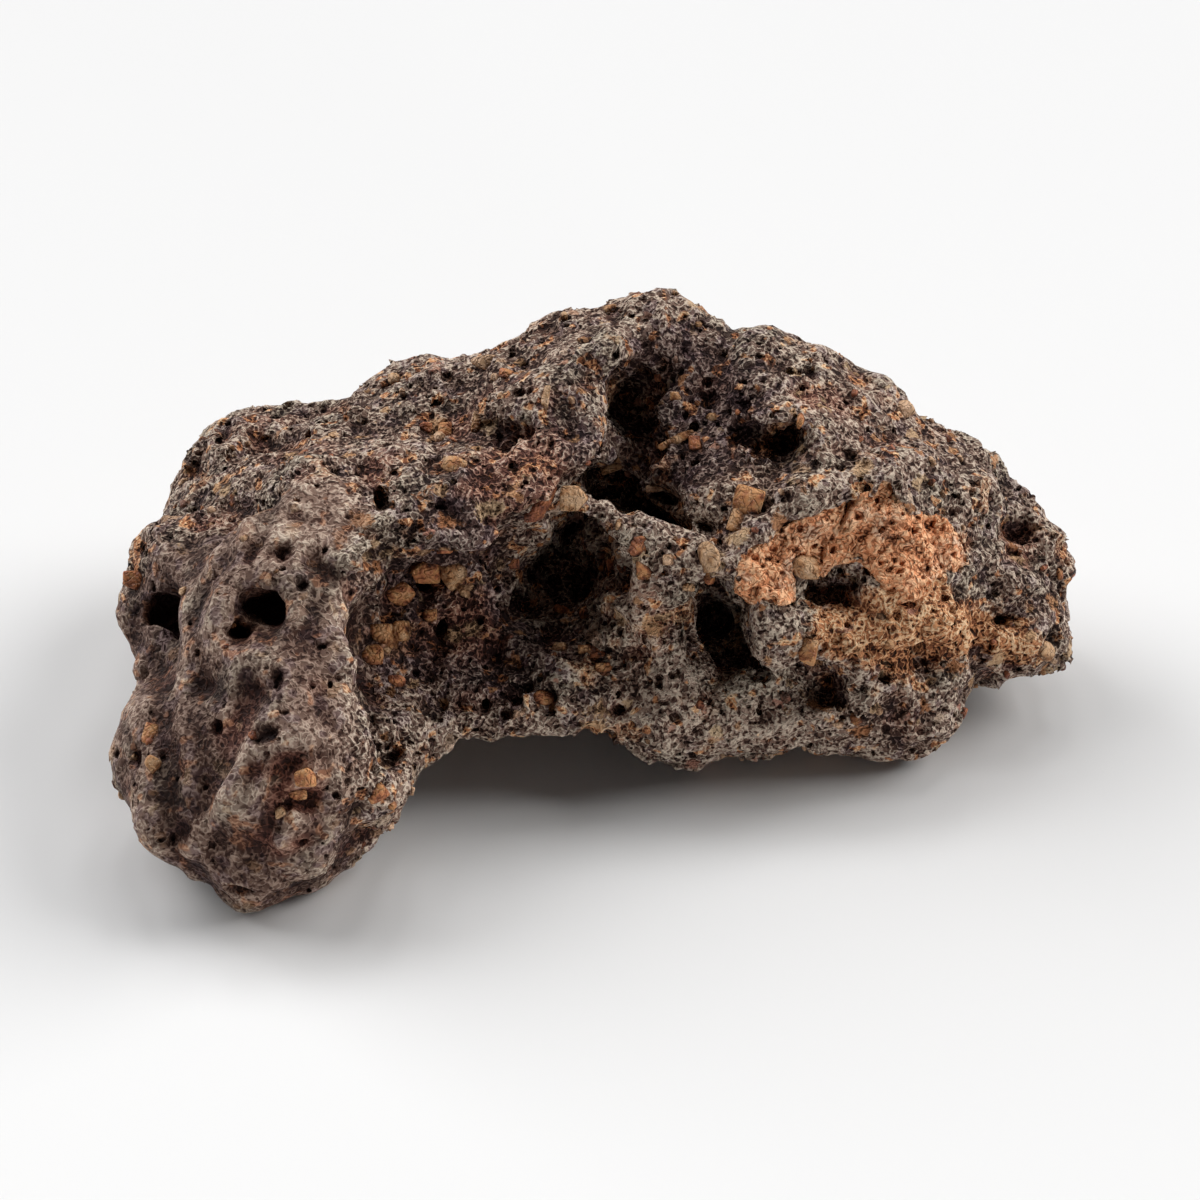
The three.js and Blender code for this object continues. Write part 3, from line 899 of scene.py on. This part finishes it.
OCHRE = [
    (68, -13, 54, 1.3), (72, -17, 39, 1.3), (61, -21, 52, 1.3), (54, -24, 48, 1.3), (62, -24, 35, 1.3),
    (47, -25, 48, 1.5), (55, -28, 45, 1.5), (69, -20, 43, 1.5), (79, -9, 35, 1.7), (88, -7, 27, 1.5),
    (-50, -10, 76, 0.9), (-62, -2, 74, 0.8),
]


def nearness(points, places):
    """Near 1 at any of the places, falling away as a bell over each one's reach."""
    bells = (np.exp(-(((points - spot(place)) ** 2).sum(1) / reach**2)) for *place, reach in places)
    return sum(bells).clip(0, 1)


def make_melt(space, field, plain):
    """The mesh of the melt's skin, and what its finish reads at each point. Rim is how proud a point stands
    of the skin about it; dip and hollow are how far it lies below a skin blurred a little and a lot."""
    mesh = thinned(mesh_of("melt", *space.skin(field)), MELT_TRIANGLES)
    points = points_of(mesh)
    rim = -space.below(field, points, 0.28, 0.09)
    dip = space.below(plain, points, 0.7, 0.35, 2)
    broad = space.below(plain, points, 1.3, 1.2, 4)
    wide = space.below(plain, points, 2.8, 2.0, 8) - 0.1
    deep = np.clip(broad, 0, 1) + np.clip(wide, 0, 1)
    add_numbers(mesh, "rim", np.clip(rim, -1, 1))
    add_numbers(mesh, "dip", np.clip(dip, -1, 1))
    add_numbers(mesh, "hollow", np.clip(0.65 * deep, 0, 1))
    add_numbers(mesh, "foot", on_foot(points[:, 0], points[:, 1]))
    # painted shade at the shaded places, less than nothing where painted light goes
    add_numbers(mesh, "sooty", nearness(points, SHADED_PLACES) - nearness(points, LIT_PLACES))
    add_numbers(mesh, "rusty", nearness(points, RUSTY))
    add_numbers(mesh, "ochre", nearness(points, OCHRE))
    return mesh


# ---- finishes

STEPS = (0.0, 0.28, 0.55, 0.8, 1.0)  # of light, from the pores of the melt to its worn walls
CRUMB_STEPS = (0.0, 0.25, 0.5, 0.75, 1.0)


def melt_rock():
    """Frothy glass: worn pale walls about a mass of fine dark pores, mottled grey, olive, rust, plum and
    tan. The pores are dark partly from their own glass and partly from painted shade, for holes too small
    for the mesh to shade; hollows, dips and listed places get painted shade, other places painted light."""
    s = Shader("melt rock", roughness=0.7, specular=0.12)
    rim, dip, hollow, foot = (s.attribute(name) for name in ("rim", "dip", "hollow", "foot"))
    sooty, ochre = s.attribute("sooty"), s.attribute("ochre")
    bent = s.wander(0.35, 0.2)
    thread = abs(s.noise(0.32, 1.3, bent) - 0.5).above(0.12, 0.0)
    hair = abs(s.noise(0.15, 0.5, bent) - 0.5).above(0.12, 0.0)
    pores = s.noise(0.21, 0.5, bent).above(0.36, 0.48)
    froth = thread * 0.47 + hair * 0.13 * (1 - foot) + pores * 0.40
    grit = s.noise(0.13, 1.0)
    patchy = s.noise(1.2, 3.0)

    # painted shade: the froth's pores go dark, partly their own dark glass, partly shade the mesh is too
    # coarse to cast
    light = 0.43 + rim * 0.20 + (froth - 0.56) * (1.15 - foot * 0.55)
    light = light + (patchy - 0.5) * (0.7 - foot * 0.2) + (grit - 0.5) * (0.22 - foot * 0.12)
    # painted shade in hollows, and painted shade and painted light at the listed places
    light = light + ochre * 0.06 - hollow * 0.03 - sooty * 0.22
    # painted shade: points in dips are painted darker, more so on the foot
    light = light - dip * (0.10 + foot * 0.10) - foot * 0.10
    grey = s.ramp(light, STEPS, (0.020, 0.009, 0.007), (0.066, 0.031, 0.022), (0.21, 0.132, 0.100),
                  (0.42, 0.30, 0.235), (0.66, 0.53, 0.42))
    rust = s.ramp(light, STEPS, (0.024, 0.008, 0.006), (0.098, 0.033, 0.022), (0.28, 0.128, 0.088),
                  (0.50, 0.28, 0.19), (0.68, 0.48, 0.37))
    cool = s.ramp(light, STEPS, (0.015, 0.008, 0.007), (0.050, 0.031, 0.024), (0.178, 0.130, 0.098),
                  (0.38, 0.31, 0.24), (0.61, 0.52, 0.41))
    plum = s.ramp(light, STEPS, (0.017, 0.008, 0.009), (0.056, 0.028, 0.028), (0.155, 0.098, 0.096),
                  (0.32, 0.225, 0.21), (0.52, 0.42, 0.38))
    tan = s.ramp(light, STEPS, (0.022, 0.008, 0.004), (0.150, 0.050, 0.022), (0.47, 0.190, 0.083),
                 (0.75, 0.37, 0.175), (0.86, 0.57, 0.34))

    cloud = s.noise(3.0, 3.0, output=1)
    spots = s.noise(0.85, 1.5, output=1)
    olive = s.channel(cloud, "Green").above(0.48, 0.64) * 0.8
    # the listed painted shade also turns the melt plum
    purple = s.channel(spots, "Blue").above(0.52, 0.64) * 0.6 + sooty * 0.5
    rusty = s.attribute("rusty") * 0.8 + s.channel(cloud, "Red").above(0.50, 0.68) * 0.5
    rusty = rusty + hollow * 0.3 + dip * (0.2 + foot * 0.4)
    baked = s.channel(spots, "Red").above(0.60, 0.68) * 0.9
    baked = baked + s.channel(cloud, "Blue").above(0.60, 0.68) * 0.5
    streak = s.noise(0.5, 2.0, s.vector("MULTIPLY", bent, (0.6, 1.0, 1.4)))
    stained = (streak + ochre * 0.5).above(0.65, 0.90) * ochre
    colour = s.mix(olive, grey, cool)
    colour = s.mix(purple.above(0.0, 1.0), colour, plum)
    colour = s.mix(rusty.above(0.1, 0.9), colour, rust)
    colour = s.mix((stained + baked * (1 - foot * 0.5)).above(0.0, 1.0), colour, tan)

    # flecks of baked quartz and feldspar, in two sizes
    shade = s.ramp(light, (0.0, 0.35, 0.75), (0.12, 0.10, 0.09), (0.62, 0.57, 0.54), (1.0, 1.0, 1.0))
    for size, bare in ((0.95, 0.935), (0.5, 0.945)):
        bits = s.cells(size, bent, output="Color")
        pick, hue = s.channel(bits, "Red"), s.channel(bits, "Green")
        edge = s.cells(size, bent, feature="DISTANCE_TO_EDGE")
        tint = s.ramp(hue, (0.0, 0.35, 0.6, 0.8, 1.0), (0.48, 0.20, 0.085), (0.58, 0.33, 0.17),
                      (0.66, 0.48, 0.30), (0.46, 0.21, 0.15), (0.76, 0.63, 0.47))
        tint = s.mix(1.0, tint, shade, "MULTIPLY")
        soft = (edge + (grit - 0.5) * 0.5).above(0.0, 0.20)
        colour = s.mix(pick.above(bare, bare + 0.01) * soft * (0.9 - foot * 0.6), colour, tint)

    height = froth * 0.15 + grit * 0.03
    return s.finish(colour, 0.75 - froth * 0.3, height * (1 - foot * 0.5))


def baked_granite():
    """Sugary orange granite: pale quartz and cream feldspar among ochre and brown, darker in its
    wrinkles, partly from its own browner crumbs and partly from painted shade."""
    s = Shader("baked granite", roughness=0.72, specular=0.18)
    bent = s.wander(0.7, 0.4)
    wrinkle = abs(s.noise(0.32, 1.5, bent) - 0.5).above(0.0, 0.14)
    grains = s.noise(0.19, 1.0, bent).above(0.34, 0.62)
    patchy = s.noise(1.3, 2.0)
    # painted shade: the wrinkles are painted darker, partly their own brown
    light = 0.70 + s.attribute("rim") * 0.20 + (wrinkle - 0.62) * 0.62
    light = light + (grains - 0.5) * 0.26 + (patchy - 0.5) * 0.55
    orange = s.ramp(light, CRUMB_STEPS, (0.030, 0.010, 0.005), (0.22, 0.072, 0.030), (0.72, 0.275, 0.120),
                    (0.92, 0.42, 0.21), (0.96, 0.54, 0.30))
    cream = s.ramp(light, CRUMB_STEPS, (0.035, 0.016, 0.010), (0.25, 0.120, 0.066), (0.74, 0.40, 0.24),
                   (0.92, 0.58, 0.38), (0.97, 0.72, 0.52))
    brown = s.ramp(light, CRUMB_STEPS, (0.020, 0.009, 0.006), (0.120, 0.055, 0.036), (0.36, 0.185, 0.120),
                   (0.62, 0.38, 0.26), (0.84, 0.62, 0.47))
    cloud = s.noise(1.4, 2.0, output=1)
    colour = s.mix(s.channel(cloud, "Red").above(0.52, 0.70) * 0.35, orange, cream)
    colour = s.mix(s.channel(cloud, "Green").above(0.54, 0.68) * 0.6, colour, brown)
    return s.finish(colour, None, wrinkle * 0.10 + grains * 0.06)


def worn_grain():
    """Worn feldspar and quartz: cream, tan, amber, orange and rusty pink, a little glassy, darker with
    painted shade where the melt holds it."""
    s = Shader("worn grain", roughness=0.5, specular=0.25)
    mottle = s.noise(0.45, 3.0)
    wrinkle = abs(s.noise(0.30, 1.5) - 0.5).above(0.0, 0.12)
    hue = s.attribute("hue") + (0.5 - mottle) * 0.9
    tint = s.ramp(hue, (0.0, 0.25, 0.45, 0.62, 0.82, 1.0), (0.78, 0.53, 0.36), (0.60, 0.39, 0.23),
                  (0.56, 0.28, 0.12), (0.55, 0.215, 0.100), (0.36, 0.135, 0.085), (0.28, 0.17, 0.13))
    # painted shade: darker close to the melt, and a little darker in the wrinkles
    light = 0.70 + (mottle - 0.5) * 1.6 + (wrinkle - 0.6) * 0.12 - s.attribute("dirt") * 0.5
    shade = s.ramp(light, (0.0, 0.35, 0.7), (0.06, 0.04, 0.035), (0.42, 0.34, 0.29), (1.0, 0.96, 0.92))
    colour = s.mix(1.0, tint, shade, "MULTIPLY")
    return s.finish(colour, 0.62 - mottle * 0.3, wrinkle * 0.08 + s.noise(0.12, 1.0) * 0.03)


def make_floor():
    """A plain white board, a little glossy."""
    corners = np.array([(-1, -1, 0), (1, -1, 0), (1, 1, 0), (-1, 1, 0)]) * FLOOR_HALF
    floor = bpy.data.objects.new("floor", mesh_of("floor", corners, np.array([[0, 1, 2, 3]]), False))
    s = Shader("white board", roughness=0.5, specular=0.15)
    floor.data.materials.append(s.finish(s.mix(s.noise(400.0), (0.81, 0.81, 0.815), (0.83, 0.83, 0.83))))
    bpy.context.scene.collection.objects.link(floor)


# ---- the scene

make_camera()
make_lamp("left window", -60, 32, 44, 2.4, (1.0, 1.0, 1.0))
make_lamp("right window", 70, 32, 42, 2.6, (1.0, 0.995, 0.985))
make_lamp("back light, left part", -35, 55, 14, 0.36, (1.0, 1.0, 1.0))
make_lamp("back light, middle", -2, 56, 14, 0.36, (1.0, 1.0, 1.0))
make_lamp("back light, right part", 28, 55, 14, 0.36, (1.0, 1.0, 1.0))
make_lamp("front fill", 150, 0, 12, 1.3, (1.0, 0.99, 0.98))
make_world(0.04)
bpy.context.scene.view_settings.view_transform = "Standard"

space = Space(LOW - MARGIN, HIGH + MARGIN, CELL)
smooth = solid_field(space)
field, plain = shape_stone(space, smooth)
melt = make_melt(space, field, plain)
add_piece("melt", melt, melt_rock(), "stone")
add_piece("granite_clast", make_clast(space, smooth), baked_granite())
add_piece("lodged_grains", make_grains(space, field, melt), worn_grain())
add_piece("baked_specks", make_specks(space, field, melt), worn_grain())
make_floor()
